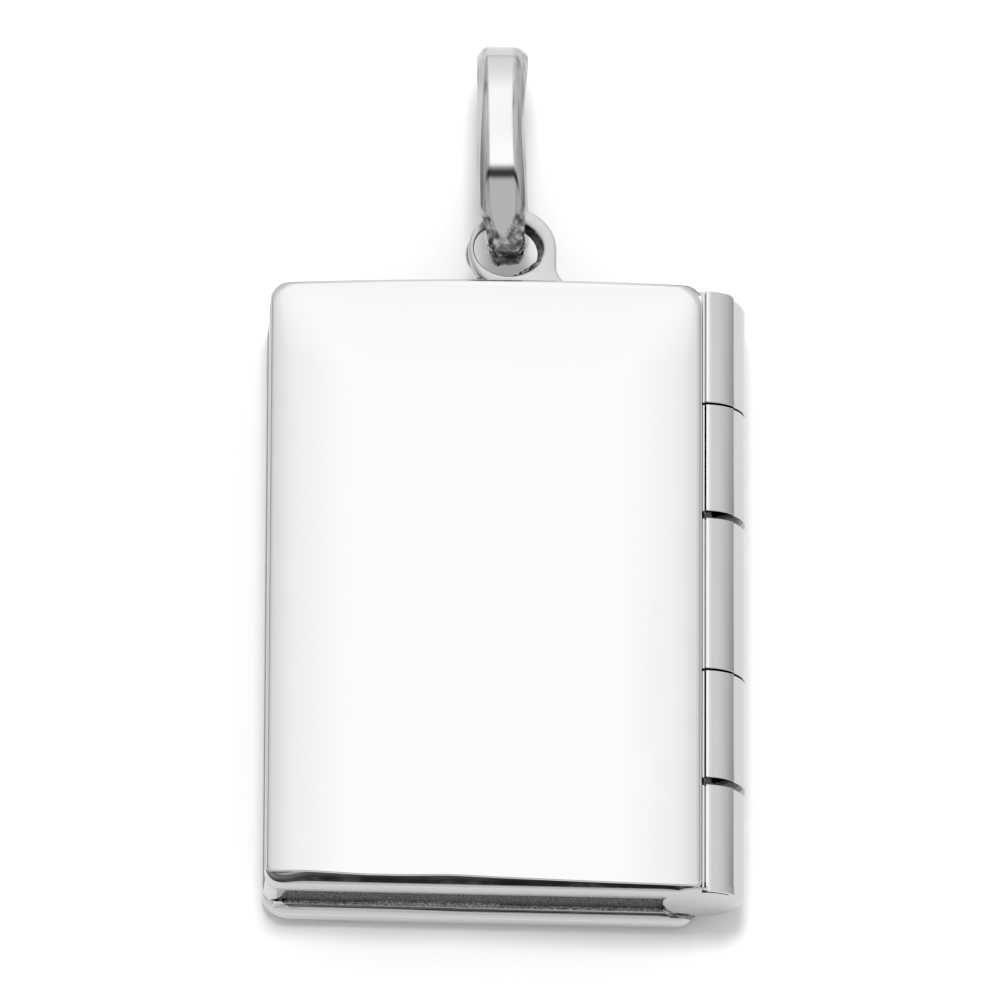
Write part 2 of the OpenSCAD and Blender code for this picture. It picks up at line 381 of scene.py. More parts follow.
def closing_lip():
    """A low wall on three sides inside the front cover; the spine side stays free."""
    low = FRONT_T - 0.4
    high = FRONT_T + 0.45
    outer = tray_box("closing_lip", low, high, 0.15)
    inner = tray_box("closing_lip_inside", low - 1, high + 1, 0.65)
    past_spine = block_box(
        "closing_lip_end", (X_TRAY_END - 0.65, Y_FOOT, FRONT_T), (X_SPINE, Y_HEAD, high + 1))
    cut(outer, [inner, past_spine])
    bevelled(outer, 0.05)
    settle(outer)
    shade(outer)
    return outer


def thumb_nub():
    """The half-round nub that stands in the thumbnail notch."""
    rings = []
    for y, inset in ((Y_FOOT - 0.02, 0.06), (Y_FOOT + 0.03, 0), (Y_FOOT + 0.24, 0)):
        rings.append([
            (NOTCH_X + (NUB_W - inset) * math.cos(rad(a)), y, NOTCH_Z + (NUB_H - inset) * math.sin(rad(a)))
            for a in range(0, 181, 6)
        ])
    return lofted("thumb_nub", rings)


def block_box(name, low, high):
    corners = [(low[0], low[1]), (high[0], low[1]), (high[0], high[1]), (low[0], high[1])]
    return lofted(name, [[(x, y, z) for x, y in corners] for z in (low[2], high[2])])


def turning_room(i):
    """The round space that a knuckle of the other half turns in."""
    low = Y_FOOT - 0.1 if i == 0 else knuckle_span(i - 1)[1]
    high = Y_HEAD + 2 if i == 4 else knuckle_span(i + 1)[0]
    return along_hinge("turning_room", [(low, round_profile(CLEAR_R)), (high, round_profile(CLEAR_R))])


def tray_box(name, low, high, inset):
    x_low = X_FORE + TRAY_WALL + inset
    x_high = X_TRAY_END - inset
    y_low = Y_FOOT + TRAY_WALL + inset
    corners = [(x_low, y_low), (x_high, y_low), (x_high, -y_low), (x_low, -y_low)]
    return lofted(name, [[(x, y, z) for x, y in corners] for z in (low, high)])


# Hinge
PROFILE_N = 144


def round_profile(radius):
    return [(radius, 360 * k / PROFILE_N) for k in range(PROFILE_N)]


def knuckle_profile(inset=0.0):
    """Radius and angle from straight up towards the spine; the leaf stands out on the shoulder."""
    points = []
    for k in range(PROFILE_N):
        angle = 360 * k / PROFILE_N
        points.append((KNUCKLE_R - inset + (LEAF_T if angle <= LEAF_ARC else 0), angle))
    return points


def along_hinge(name, rings, sharp=35):
    placed = []
    for y, profile in rings:
        placed.append([
            (AXIS_X + r * math.sin(rad(a)), y, AXIS_Z + r * math.cos(rad(a))) for r, a in profile
        ])
    return lofted(name, placed, sharp)


def knuckle_span(i):
    low = Y_FOOT + COVER_L * KNUCKLE_SHARE[i] + KNUCKLE_GAP[i] / 2
    high = Y_FOOT + COVER_L * KNUCKLE_SHARE[i + 1] - KNUCKLE_GAP[i + 1] / 2
    return low, high + HEAD_KNUCKLE_OUT if i == 4 else high


def end_rounding(i, at_end, angle):
    """Radius of a knuckle's end: large where the barrel turns into the locket's foot or head face."""
    outside = (i == 0 and not at_end) or (i == 4 and at_end)
    bare = smooth(LEAF_ARC - 6, LEAF_ARC + 8, angle) * (1 - smooth(185, 230, angle))
    return mix(0.12, 0.42, bare) if outside else 0.03


def knuckle_end(i, at_end):
    """Rings that close one end of a knuckle with a rounded edge, from the barrel inwards."""
    y = knuckle_span(i)[1 if at_end else 0]
    inward = -1 if at_end else 1
    rings = []
    for k in range(9):
        turn = rad(90 * k / 8)
        points = []
        for r, a in knuckle_profile():
            edge = end_rounding(i, at_end, a)
            drawn = r - edge * (1 - math.cos(turn))
            points.append((
                AXIS_X + drawn * math.sin(rad(a)),
                y + inward * edge * (1 - math.sin(turn)),
                AXIS_Z + drawn * math.cos(rad(a)),
            ))
        rings.append(points)
    return rings


def knuckle(i):
    low, high = knuckle_span(i)
    foot_end = knuckle_end(i, False)
    head_end = knuckle_end(i, True)

    def bore(y):
        return [(AXIS_X + BORE_R * math.sin(rad(a)), y, AXIS_Z + BORE_R * math.cos(rad(a)))
                for _, a in round_profile(BORE_R)]

    if i == 0:
        rings = foot_end[::-1] + head_end + [bore(high), bore(low + BORE_CAP)]
        return lofted(f"knuckle_{i + 1}", rings)
    rings = foot_end[::-1] + head_end + [bore(high), bore(low)]
    return lofted(f"knuckle_{i + 1}", rings, around=True)


def front_knuckles(silver):
    for i in (1, 3):
        dressed(knuckle(i), "front", silver)


def leaf_end(silver):
    """The raised end of the leaf over the first knuckle's foot face."""
    rings = []
    for y, lift in ((-0.06, -0.03), (-0.04, 0.008), (0.12, 0.008), (0.3, -0.01)):
        outer = [(KNUCKLE_R + LEAF_T + lift, a) for a in range(2, LEAF_ARC + 1)]
        inner = [(KNUCKLE_R - 0.02, a) for a in range(LEAF_ARC, 1, -1)]
        rings.append([
            (AXIS_X + r * math.sin(rad(a)), Y_FOOT + y, AXIS_Z + r * math.cos(rad(a)))
            for r, a in outer + inner
        ])
    return dressed(lofted("leaf_end", rings), "back", silver)


def leaf_slit(name, y_low, y_high, wider=0.0):
    """The open crack below the leaf's end, wide on the face side and thin on the outer side."""
    angles = range(-6, 42, 3)
    rings = []
    for y in (y_low, y_high):
        outer = [(KNUCKLE_R - 0.05 + wider, a) for a in angles]
        inner = [(KNUCKLE_R - mix(0.3, 0.2, (a + 6) / 48) - wider, a) for a in reversed(angles)]
        rings.append([
            (AXIS_X + r * math.sin(rad(a)), y, AXIS_Z + r * math.cos(rad(a))) for r, a in outer + inner
        ])
    return lofted(name, rings)


# Book block of the back half
BLOCK_SHAPE = {"x_end": X_SPINE - 0.35, "spine_r": 0.1}


def page_inset(station):
    """The page edges lie back from the rim, apart from the posts at the fore-edge corners."""
    x, y = station_point(station, 0, **BLOCK_SHAPE)
    from_corner = max(x - X_FORE, Y_HEAD - abs(y))
    return PAGE_D + 0.06 if from_corner > POST_W else 0.0


def groove_inset(station):
    """The groove runs along the foot and the head, and thins out at both ends."""
    x, _ = station_point(station, 0, **BLOCK_SHAPE)
    return mix(0.04, GROOVE_D, smooth(0.15, 1.3, x - X_FORE) * (1 - 0.5 * smooth(6.9, 7.6, x)))


def seam_lift(station):
    """The seam is a little more open towards the fore-edge corner of the foot."""
    x, _ = station_point(station, 0, **BLOCK_SHAPE)
    return Z_SEAM + (0.08 + 0.05 * (1 - smooth(-5.5, -1, x))) * foot_share(station)


def seam_depth(station):
    """The painted shadow line of the seam lies on the foot's face, and is hidden on the other sides."""
    return mix(0.08, -0.004, foot_share(station))


def seam_low(station):
    return Z_SEAM + 0.06 * (1 - foot_share(station))


def seam_high(station):
    x, _ = station_point(station, 0, **BLOCK_SHAPE)
    return seam_low(station) + 0.02 + mix(0.22, 0.1, smooth(-6, 5, x)) * foot_share(station)


def back_body(silver, groove_finish):
    edge = 0.05
    rings = [
        ring(TRAY_WALL, CLOSED_H - TRAY_FLOOR, x_end=X_BLOCK_END - SPINE_WALL + TRAY_WALL),
        ring(TRAY_WALL, Z_SEAM, x_end=X_BLOCK_END - SPINE_WALL + TRAY_WALL),
        ring(edge, seam_lift, **BLOCK_SHAPE),
        ring(0.0, lambda s: seam_lift(s) + edge, **BLOCK_SHAPE),
        ring(0.0, Z_PAGE, **BLOCK_SHAPE),
        ring(page_inset, Z_PAGE, **BLOCK_SHAPE),
        ring(page_inset, Z_RIM, **BLOCK_SHAPE),
        ring(edge, Z_RIM, **BLOCK_SHAPE),
        ring(0.3 * edge, Z_RIM + 0.3 * edge, **BLOCK_SHAPE),
        ring(0.0, Z_RIM + edge, **BLOCK_SHAPE),
        ring(0.0, Z_RIM_TOP - 0.12, **BLOCK_SHAPE),
        ring(0.02, Z_RIM_TOP - 0.06, **BLOCK_SHAPE),
        ring(0.06, Z_RIM_TOP - 0.02, **BLOCK_SHAPE),
        ring(lambda s: min(0.11, groove_inset(s)), Z_RIM_TOP, **BLOCK_SHAPE),
        ring(groove_inset, Z_RIM_TOP, **BLOCK_SHAPE),
        ring(groove_inset, Z_BOARD + 0.03, **BLOCK_SHAPE),
    ]
    body = lofted("book_block", rings)
    cut(body, [knuckle(i) for i in (0, 2, 4)], "UNION")
    bore = along_hinge(
        "bore", [(Y_FOOT + BORE_CAP, round_profile(BORE_R)), (Y_HEAD + 2, round_profile(BORE_R))])
    slit = leaf_slit("leaf_slit", Y_FOOT - 1, Y_FOOT + 0.1)
    cut(body, [turning_room(1), turning_room(3), thumb_notch(), bore, slit])
    shade(body, 30)
    dressed(body, "back", silver)
    # The groove's dark lining: partly oxide, partly painted shade of the groove.
    wall = lofted("groove_wall", [
        ring(lambda s: groove_inset(s) * 0.45, Z_RIM_TOP - 0.1, **BLOCK_SHAPE),
        ring(lambda s: groove_inset(s) * 0.45, Z_RIM_TOP + 0.012, **BLOCK_SHAPE),
        ring(lambda s: groove_inset(s) - 0.015, Z_RIM_TOP + 0.02, **BLOCK_SHAPE),
        ring(lambda s: groove_inset(s) - 0.015, Z_BOARD + 0.02, **BLOCK_SHAPE),
        ring(0.6, Z_BOARD + 0.02, **BLOCK_SHAPE),
        ring(0.6, Z_RIM_TOP - 0.1, **BLOCK_SHAPE),
    ], around=True)
    cut(wall, [turning_room(1), turning_room(3)])
    shade(wall, 30)
    dressed(wall, "back", groove_finish)
    # A dark sheet in the slit below the leaf's end: painted shade of the crack.
    dressed(leaf_slit("leaf_crack", Y_FOOT + 0.09, Y_FOOT + 0.14, 0.01), "back", groove_finish)
    # A dark band on the lip's face along the seam: painted shadow of the seam's gap.
    seam = lofted("seam_shade", [
        ring(0.09, seam_low, **BLOCK_SHAPE),
        ring(seam_depth, seam_low, **BLOCK_SHAPE),
        ring(seam_depth, seam_high, **BLOCK_SHAPE),
        ring(0.09, seam_high, **BLOCK_SHAPE),
    ], around=True)
    cut(seam, [turning_room(1), turning_room(3), thumb_notch()])
    dressed(seam, "back", groove_finish)
    # A dark sheet at the back of the thumbnail notch: painted shade inside it.
    shadow = notch_shape("notch_shade", 0.36, 0.45, larger=0.02, z_low=Z_SEAM + 0.01)
    dressed(shadow, "back", groove_finish)


def notch_shape(name, y_low, y_high, larger=0.0, z_low=0.0):
    """The half-round notch under the fore-edge post, from y_low to y_high behind the foot's face."""
    return lofted(name, [
        [(NOTCH_X + (NOTCH_W + larger) * math.cos(rad(a)), Y_FOOT + y,
          max(z_low, NOTCH_Z + (NOTCH_H + larger) * math.sin(rad(a)))) for a in range(0, 360, 6)]
        for y in (y_low, y_high)
    ])


def thumb_notch():
    return notch_shape("thumb_notch", -0.5, 0.42)


def end_crescent(finish):
    """Dark rough metal in the gap between the hinge's round end and the front board."""
    first, last, steps = -107, -166, 28
    rings = []
    for y in (Y_FOOT - 0.06, Y_FOOT + 0.3):
        outer = []
        inner = []
        for k in range(steps + 1):
            angle = rad(mix(first, last, k / steps))
            uneven = 0.025 * noise.noise(Vector((k * 0.7, 0, 0)))
            swell = 0.1 * math.sin(math.pi * k / steps) ** 0.6 + uneven
            outer_r = KNUCKLE_R + 0.01 + max(0.005, swell)
            for radius, points in ((outer_r, outer), (KNUCKLE_R - 0.05, inner)):
                points.append((AXIS_X + radius * math.sin(angle), y, AXIS_Z + radius * math.cos(angle)))
        rings.append(outer + inner[::-1])
    return dressed(lofted("end_crescent", rings, 40), "back", finish)


# Grains of the page edges
def grain_tree():
    """A thin slab whose front and top are strewn with small grains; the slab faces the foot."""
    tree = bpy.data.node_groups.new("grains", "GeometryNodeTree")
    for label, kind in (("Length", "Float"), ("Thickness", "Float"), ("Height", "Float"),
                        ("Density", "Float"), ("Grain", "Float"), ("Seed", "Int"), ("Finish", "Material")):
        tree.interface.new_socket(label, in_out="INPUT", socket_type="NodeSocket" + kind)
    tree.interface.new_socket("Geometry", in_out="OUTPUT", socket_type="NodeSocketGeometry")
    source = tree.nodes.new("NodeGroupInput")
    given = {socket.name: Value(tree, socket) for socket in source.outputs if socket.name}
    start = given["Length"]
    size = start.node("ShaderNodeCombineXYZ", X=start, Y=given["Thickness"], Z=given["Height"])
    slab = start.node("GeometryNodeMeshCube", Size=size, Vertices_X=25)
    normal = start.node("GeometryNodeInputNormal")
    facing = start.node("ShaderNodeVectorMath", {"operation": "DOT_PRODUCT"}, out=1,
                        in0=normal, in1=(0, -0.7, 0.7))
    points = start.node("GeometryNodeDistributePointsOnFaces", Mesh=slab,
                        Selection=facing.maths("GREATER_THAN", 0.5),
                        Density=given["Density"], Seed=given["Seed"])
    grain = start.node("GeometryNodeMeshIcoSphere", Radius=given["Grain"], Subdivisions=1)
    vector = {"data_type": "FLOAT_VECTOR"}
    turn = start.node("FunctionNodeRandomValue", vector, Min=(0, 0, 0), Max=(6, 6, 6), Seed=given["Seed"])
    scale = start.node("FunctionNodeRandomValue", vector, Min=(0.4, 0.4, 0.4), Max=(1.3, 1.3, 1.3),
                       Seed=given["Seed"])
    grains = start.node("GeometryNodeInstanceOnPoints", Points=points, Instance=grain, Rotation=turn,
                        Scale=scale)
    joined = start.node("GeometryNodeJoinGeometry", in0=slab)
    tree.links.new(grains.socket, joined.socket.node.inputs[0])
    whole = start.node("GeometryNodeRealizeInstances", in0=joined)
    finished = start.node("GeometryNodeSetMaterial", Geometry=whole, Material=given["Finish"])
    output = tree.nodes.new("NodeGroupOutput")
    tree.links.new(finished.socket, output.inputs[0])
    return tree


def strewn_slab(tree, name, finish, seed, length, height, thickness=0.1, density=90.0, grain=0.028):
    """A grainy slab around the origin; the tree works in metres."""
    piece = bpy.data.objects.new(name, bpy.data.meshes.new(name))
    bpy.context.scene.collection.objects.link(piece)
    values = {"Length": length * MM, "Thickness": thickness * MM, "Height": height * MM,
              "Density": density / MM ** 2, "Grain": grain * MM, "Seed": seed, "Finish": finish}
    modifier = piece.modifiers.new("grains", "NODES")
    modifier.node_group = tree
    for item in tree.interface.items_tree:
        if item.in_out == "INPUT":
            modifier[item.identifier] = values[item.name]
    return settle(piece)


def placed_slab(piece, turn, x, y, z, arched=False):
    place = Matrix.Translation(Vector((x, y, z)) * MM) @ Matrix.Rotation(rad(turn), 4, "Z")
    piece.data.transform(place)
    if arched:
        for vertex in piece.data.vertices:
            vertex.co.y += head_rise(vertex.co.x / MM) * MM
    return piece


def page_edges(grainy, rough):
    tree = grain_tree()
    x_low = X_FORE + POST_W
    x_high = AXIS_X - 1.1
    middle = (x_low + x_high) / 2
    height = Z_RIM - Z_PAGE
    z = (Z_RIM + Z_PAGE) / 2
    depth = PAGE_D + 0.05
    foot = strewn_slab(tree, "foot_pages", grainy, 1, x_high - x_low, height)
    fore = strewn_slab(tree, "fore_pages", grainy, 2, COVER_L - 2 * POST_W, height)
    head = strewn_slab(tree, "head_pages", grainy, 3, x_high - x_low, height)
    placed_slab(foot, 0, middle, Y_FOOT + depth, z)
    placed_slab(fore, -90, X_FORE + depth, 0, z)
    placed_slab(head, 180, middle, Y_HEAD - depth, z, arched=True)
    crumbs = strewn_slab(tree, "foot_crumbs", rough, 4, x_high - x_low - 0.6, 0.13,
                         density=240.0, grain=0.024)
    heap = strewn_slab(tree, "heaped_crumbs", rough, 5, 4.6, 0.14,
                       thickness=0.12, density=160.0, grain=0.035)
    placed_slab(crumbs, 0, middle, Y_FOOT + 0.07, Z_PAGE - 0.035)
    placed_slab(heap, 0, -1.6, Y_FOOT + 0.14, Z_PAGE + 0.02)
    for piece, finish in ((foot, grainy), (fore, grainy), (head, grainy), (crumbs, rough), (heap, rough)):
        shade(piece, 30)
        dressed(piece, "back", finish)


# Solder
def solder(name, lumps, finish, rough=0.05):
    """Lumps that have run together; each is a place and a radius."""
    mesh = bpy.data.meshes.new(name)
    work = bmesh.new()
    for x, y, z, radius in lumps:
        place = Matrix.Translation((x, y, z))
        bmesh.ops.create_icosphere(work, subdivisions=3, radius=radius, matrix=place)
    work.to_mesh(mesh)
    work.free()
    piece = bpy.data.objects.new(name, mesh)
    bpy.context.scene.collection.objects.link(piece)
    joined = piece.modifiers.new("run together", "REMESH")
    joined.mode = "VOXEL"
    joined.voxel_size = 0.022
    soft = piece.modifiers.new("soft", "SMOOTH")
    soft.iterations = 5
    pattern = bpy.data.textures.new(name, "CLOUDS")
    pattern.noise_scale = 0.12
    uneven = piece.modifiers.new("uneven", "DISPLACE")
    uneven.texture = pattern
    uneven.strength = rough
    settle(piece)
    piece.data.transform(Matrix.Scale(MM, 4))
    shade(piece, 60)
    return dressed(piece, "back", finish)


# Loop
HOLE_X = -0.19
HOLE_W = 1.27
HOLE_L = 1.08


def loop_outer():
    """Round outside, a straight left foot and a flare on the spine side."""
    outer_r = 1.64
    flare = 0.72
    sunk = 0.7
    base = -1.4
    points = []
    for k in range(61):
        angle = rad(235 * k / 60)
        points.append((outer_r * math.cos(angle) - 0.05, outer_r * math.sin(angle)))
    left_x = points[-1][0]
    corner = outer_r - 0.05 + flare
    points += [(left_x, base - sunk), (corner, base - sunk), (corner, base)]
    for k in range(1, 13):
        angle = rad(270 - 90 * k / 12)
        points.append((corner + flare * math.cos(angle), base + flare + flare * math.sin(angle)))
    return points


def loop_hole():
    """An oval hole with a lump of solder left in its lower corner."""
    points = []
    for k in range(96):
        angle = -360 * k / 96
        lump = 0.11 * math.exp(-((angle + 38) / 13) ** 2)
        points.append((HOLE_X + HOLE_W * (1 - lump) * math.cos(rad(angle)),
                       HOLE_L * (1 - lump) * math.sin(rad(angle))))
    return points


def loop(finish):
    rounding = 0.11
    shape = bpy.data.curves.new("loop", "CURVE")
    shape.dimensions = "2D"
    shape.fill_mode = "BOTH"
    for points in (loop_outer(), loop_hole()):
        spline = shape.splines.new("POLY")
        spline.points.add(len(points) - 1)
        for place, (x, y) in zip(spline.points, points):
            place.co = (x, y, 0, 1)
        spline.use_cyclic_u = True
    shape.extrude = LOOP_T / 2 - rounding
    shape.bevel_depth = rounding
    shape.bevel_resolution = 5
    shape.offset = -rounding
    holder = bpy.data.objects.new("loop_shape", shape)
    bpy.context.scene.collection.objects.link(holder)
    depsgraph = bpy.context.evaluated_depsgraph_get()
    mesh = bpy.data.meshes.new_from_object(holder.evaluated_get(depsgraph))
    bpy.data.objects.remove(holder)
    for vertex in mesh.vertices:
        reach = math.hypot((vertex.co.x - HOLE_X) / HOLE_W, vertex.co.y / HOLE_L)
        vertex.co.x += LOOP_SHEAR * (1 - smooth(1.088, 1.1, reach)) * (vertex.co.z - LOOP_T / 2)
    mesh.transform(Matrix.Scale(MM, 4) @ Matrix.Translation((LOOP_X, LOOP_Y, LOOP_Z)))
    work = bmesh.new()
    work.from_mesh(mesh)
    bmesh.ops.remove_doubles(work, verts=work.verts, dist=0.001 * MM)
    bmesh.ops.recalc_face_normals(work, faces=work.faces)
    work.to_mesh(mesh)
    work.free()
    piece = bpy.data.objects.new("loop", mesh)
    bpy.context.scene.collection.objects.link(piece)
    shade(piece, 50)
    return dressed(piece, "back", finish)


def loop_solder(finish):
    """Uneven solder where the loop meets the head edge, and a spill inside its right foot."""
    solder("left_foot_solder", [
        (-0.5, 12.14, 3.62, 0.13), (-0.3, 12.18, 3.72, 0.13), (-0.1, 12.16, 3.78, 0.13),
        (0.12, 12.12, 3.78, 0.13), (0.35, 12.1, 3.8, 0.11)], finish, 0.03)
    solder("right_foot_solder", [
        (1.55, 12.55, 3.75, 0.16), (1.35, 12.42, 3.78, 0.15), (1.1, 12.32, 3.78, 0.12),
        (2.1, 12.1, 3.84, 0.1), (2.4, 12.08, 3.86, 0.09)], finish)


# Bail
def bail_path():
    """Outer outline of the bail seen from its side: each place with its outward normal."""
    side_u = (BAIL_TIP_U ** 2 + (BAIL_SIDE_R - BAIL_FOOT_R) ** 2 - (BAIL_SIDE_R - BAIL_TIP_R) ** 2)
    side_u /= 2 * BAIL_TIP_U
    side_w = math.sqrt((BAIL_SIDE_R - BAIL_FOOT_R) ** 2 - side_u ** 2)
    a_foot = 180 - math.degrees(math.atan2(side_w, side_u))
    a_tip = math.degrees(math.atan2(side_w, BAIL_TIP_U - side_u))
    arcs = (
        ((BAIL_TIP_U, 0), BAIL_TIP_R, 0, a_tip, 48),
        ((side_u, -side_w), BAIL_SIDE_R, a_tip, a_foot, 60),
        ((0, 0), BAIL_FOOT_R, a_foot, 180, 24),
    )
    upper = []
    for centre, radius, start, stop, count in arcs:
        for k in range(count):
            angle = rad(mix(start, stop, k / count))
            normal = (math.cos(angle), math.sin(angle))
            upper.append(((centre[0] + radius * normal[0], centre[1] + radius * normal[1]), normal))
    last = ((-BAIL_FOOT_R, 0), (-1, 0))
    lower = [((p[0], -p[1]), (n[0], -n[1])) for p, n in reversed(upper[1:])]
    return upper + [last] + lower, side_u, side_w


def bail_matrix(side_u, side_w):
    down = math.cos(rad(BAIL_SLOPE)) * math.cos(rad(BAIL_ROLL))
    height = (BAIL_CLEARANCE + side_u * math.sin(rad(BAIL_SLOPE)) - side_w * down
              + BAIL_SIDE_R * math.hypot(math.sin(rad(BAIL_SLOPE)), down)
              + BAND_W / 2 * math.cos(rad(BAIL_SLOPE)) * math.sin(rad(BAIL_ROLL)))
    return (Matrix.Translation((BAIL_X, BAIL_Y, height)) @ Matrix.Rotation(rad(BAIL_LEAN), 4, "Z")
            @ Matrix.Rotation(rad(-BAIL_SLOPE), 4, "X") @ Matrix.Rotation(rad(-BAIL_ROLL), 4, "Y"))


FLAT_LEFT = 0.47
FLAT_RIGHT = 0.45


def band_section(half):
    """Across and depth of the band: a flat that faces up between two soft flanks that drop away."""
    flat_slope = math.tan(rad(BAIL_ROLL))
    left = -FLAT_LEFT * half
    right = FLAT_RIGHT * half
    points = []
    for k in range(17):
        t = k / 16
        points.append((mix(-half, left, t), 0.3 * (1 - t) ** 2.2))
    for k in range(1, 9):
        across = mix(left, right, k / 8)
        points.append((across, flat_slope * (across - left)))
    edge_depth = flat_slope * (right - left)
    for k in range(1, 17):
        t = k / 16
        points.append((mix(right, half, t), edge_depth + 0.26 * t ** 2.2 + flat_slope * 0.2 * t))
    inner_r = 0.14
    for k in range(6):
        turn = rad(90 * k / 5)
        points.append((half - inner_r + inner_r * math.cos(turn),
                       BAND_T - inner_r + inner_r * math.sin(turn)))
    for k in range(6):
        turn = rad(90 * k / 5)
        points.append((-half + inner_r - inner_r * math.sin(turn),
                       BAND_T - inner_r + inner_r * math.cos(turn)))
    return points


NECK_MORE = 0.14
TIP_NARROWING = 0.06
RIGHT_WIDER = 0.26
LEFT_NARROWER = 0.15


def band_half(u, w, facing):
    """Half the band's width: a neck at the bend in the loop, rounded corners at the far end."""
    neck = FOOT_W + NECK_MORE * smooth(-BAIL_FOOT_R, -0.5, u)
    half = (neck + (BAND_W - FOOT_W - NECK_MORE) * smooth(-0.3, 0.15, u)) / 2
    corner_at = 34
    corner_r = 0.44
    toward_end = (u - BAIL_TIP_U) * math.cos(rad(corner_at)) + w * math.sin(rad(corner_at))
    tip = min(1, max(0, toward_end - (BAIL_TIP_R - corner_r)) / corner_r)
    if facing > corner_at:
        return half - TIP_NARROWING * (1 - math.sqrt(1 - tip * tip))
    return half - TIP_NARROWING * smooth(-115, -50, facing)


def roughness_at(u, w, across, half):
    """1 on the unpolished bend through the loop, which is also painted dark there, partly as shade inside
    the loop; the polished flat reaches into it as a tongue.
    """
    tongue = -0.82 + 0.75 * min(1, abs(across + 0.06) / (0.62 * half)) ** 2
    if w < 0:
        tongue = -0.1
    return 1 - smooth(tongue - 0.08, tongue + 0.08, u)


def bail(finish):
    path, side_u, side_w = bail_path()
    place = bail_matrix(side_u, side_w)
    rings = []
    rough = []
    flank = []
    for (u, w), (nu, nw) in path:
        half = band_half(u, w, math.degrees(math.atan2(nw, nu)))
        ring_points = []
        for across, depth in band_section(half):
            amount = roughness_at(u, w, across, half)
            spot = Vector((across * 9, u * 9, w * 9))
            uneven = 0.06 * amount * noise.noise(spot * 0.5) + 0.02 * amount * noise.noise(spot * 1.5)
            depth_now = depth - uneven
            upper = smooth(-1.8, 0.8, w)
            near_loop = smooth(-0.6, 0.2, u) * (1 - smooth(0.5, 5.5, u))
            wider = RIGHT_WIDER * smooth(3, 7, u) * upper * max(0, across / half)
            wider -= LEFT_NARROWER * near_loop * upper * max(0, -across / half)
            ring_points.append(place @ Vector((across + wider, u - nu * depth_now, w - nw * depth_now)))
            rough.append(amount)
            # flank: where the band's sides are painted darker, as shade in their reflections.
            beyond = max(-across / half - FLAT_LEFT, across / half - FLAT_RIGHT)
            flank.append(smooth(0, 0.1, beyond) * (1 - amount))
        rings.append([tuple(p) for p in ring_points])
    piece = lofted("bail_band", rings, around=True)
    for name, amounts in (("rough", rough), ("flank", flank)):
        mask = piece.data.attributes.new(name, "FLOAT", "POINT")
        for entry, amount in zip(mask.data, amounts):
            entry.value = amount
    return dressed(piece, "back", finish, "bail")


def bend_solder(finish):
    """Lumps of solder along the bend inside the loop."""
    solder("bend_solder", [
        (1.17, 14.0, 4.02, 0.17), (1.25, 13.78, 3.95, 0.19), (1.24, 13.52, 3.82, 0.2),
        (1.14, 13.3, 3.7, 0.2), (1.0, 13.16, 3.55, 0.18), (0.3, 13.4, 3.62, 0.17), (0.2, 13.62, 3.8, 0.15),
        (0.42, 13.22, 3.5, 0.15), (0.95, 13.42, 3.98, 0.12), (0.75, 13.22, 3.72, 0.13)], finish, 0.09)


# Shader maths
class Value:
    """A socket of a node tree that can be used in Python expressions."""

    def __init__(self, tree, socket):
        self.tree = tree
        self.socket = socket

    def node(self, kind, settings=None, out=0, **inputs):
        node = self.tree.nodes.new(kind)
        for key, setting in (settings or {}).items():
            if key == "stops":
                ramp = node.color_ramp
                while len(ramp.elements) < len(setting):
                    ramp.elements.new(0.5)
                for element, (position, level) in zip(ramp.elements, setting):
                    element.position = position
                    element.color = (level, level, level, 1)
            else:
                setattr(node, key, setting)
        for key, value in inputs.items():
            name = key.replace("_", " ") if not key.startswith("in") else int(key[2:])
            socket = node.inputs[name]
            if isinstance(value, Value):
                self.tree.links.new(value.socket, socket)
            else:
                socket.default_value = value
        return Value(self.tree, node.outputs[out])

    def axes(self):
        """The three components of a vector."""
        return [self.node("ShaderNodeSeparateXYZ", out=i, in0=self) for i in range(3)]

    def pattern(self, scale, detail):
        """Noise at this place, with scale given per metre."""
        return self.node("ShaderNodeTexNoise", Vector=self, Scale=scale, Detail=detail)

    def blend(self, first, second):
        """A colour: first where this value is 0 and second where it is 1."""
        return self.node("ShaderNodeMix", {"data_type": "RGBA"}, out=2, in0=self, in6=first, in7=second)

    def maths(self, operation, *others):
        inputs = {f"in{i}": value for i, value in enumerate((self, *others))}
        return self.node("ShaderNodeMath", {"operation": operation}, **inputs)

    def __add__(self, other):
        return self.maths("ADD", other)

    __radd__ = __add__

    def __mul__(self, other):
        return self.maths("MULTIPLY", other)

    __rmul__ = __mul__

    def __sub__(self, other):
        return self.maths("SUBTRACT", other)

    def __rsub__(self, other):
        return self.node("ShaderNodeMath", {"operation": "SUBTRACT"}, in0=other, in1=self)

    def __truediv__(self, other):
        return self.maths("DIVIDE", other)

    def ramp(self, stops, shape="LINEAR"):
        """Looks a value up in a list of (position, level)."""
        levels = self.node("ShaderNodeValToRGB", {"stops": stops}, in0=self)
        levels.socket.node.color_ramp.interpolation = shape
        return levels

    def span(self, low, high):
        """0 at low and 1 at high."""
        return self.node("ShaderNodeMapRange", in0=self, in1=low, in2=high)


def new_material(name):
    material = bpy.data.materials.new(name)
    material.use_nodes = True
    tree = material.node_tree
    tree.nodes.clear()
    output = tree.nodes.new("ShaderNodeOutputMaterial")
    shader = tree.nodes.new("ShaderNodeBsdfPrincipled")
    tree.links.new(shader.outputs[0], output.inputs["Surface"])
    where = tree.nodes.new("ShaderNodeTexCoord")
    return material, shader, Value(tree, where.outputs["Object"])


def feed(shader, name, value):
    value.tree.links.new(value.socket, shader.inputs[name])


SILVER = (0.55, 0.55, 0.555, 1)


def raised(shader, height, distance):
    """Bumps where height is 1, as high as distance in millimetres."""
    bump = height.node("ShaderNodeBump", Height=height, Distance=distance * MM, Strength=1.0)
    feed(shader, "Normal", bump)


def polishing_waves(where):
    return where.pattern(350.0, 1.0)


def polished_roughness(waves):
    return waves * 0.03 + 0.03


